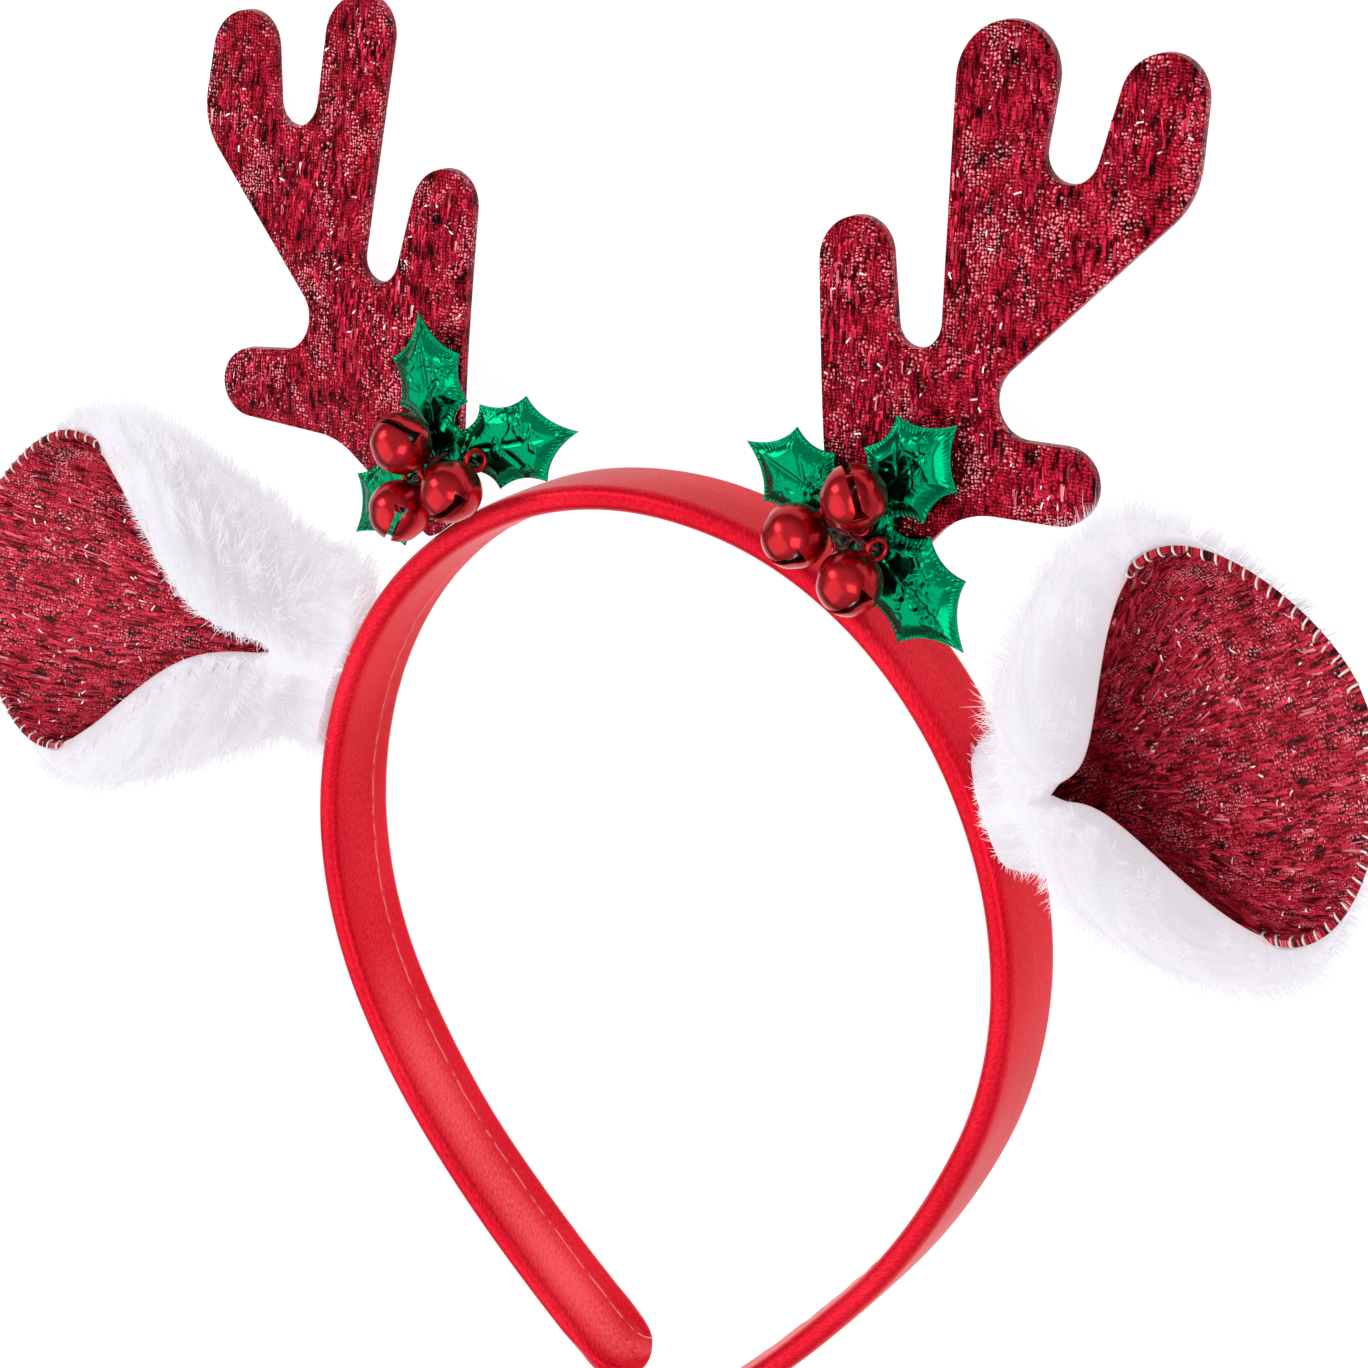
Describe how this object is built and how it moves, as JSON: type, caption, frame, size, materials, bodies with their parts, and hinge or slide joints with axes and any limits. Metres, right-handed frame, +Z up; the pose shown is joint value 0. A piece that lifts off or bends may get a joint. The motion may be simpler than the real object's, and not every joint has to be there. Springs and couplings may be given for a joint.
{
  "type": "reindeer antler headband",
  "caption": "Slim satin headband carrying flat knit antlers, fur-backed ears and holly sprigs with jingle bells, for festive dress.",
  "frame": {"origin": "on the floor under the middle of the whole headband, which lies on its back", "axes": "+X to the viewer's right across the ears, +Y from the band's tips to the antlers, +Z up, the worn front"},
  "size_m": [0.2602, 0.2233, 0.0311],
  "materials": {
    "satin": "woven satin with a soft sheen",
    "metallic_knit": "glittering knit with metallised yarn",
    "fur": "deep white plush pile",
    "foil": "crinkled metallic foil cloth, heat-sealed edges",
    "lacquered_metal": "semi-gloss red metallic lacquer",
    "steel": "bright steel ball"
  },
  "bodies": {
    "root": {"band": "satin", "antler_left": "metallic_knit", "ear_lining_left": "metallic_knit", "ear_fur_left": "fur", "holly_left": "foil", "antler_right": "metallic_knit", "ear_lining_right": "metallic_knit", "ear_fur_right": "fur", "holly_right": "foil", "bell_left_1": "lacquered_metal", "pellet_left_1": "steel", "bell_left_2": "lacquered_metal", "pellet_left_2": "steel", "bell_left_3": "lacquered_metal", "pellet_left_3": "steel", "bell_right_1": "lacquered_metal", "pellet_right_1": "steel", "bell_right_2": "lacquered_metal", "pellet_right_2": "steel", "bell_right_3": "lacquered_metal", "pellet_right_3": "steel"}
  },
  "joints": []
}
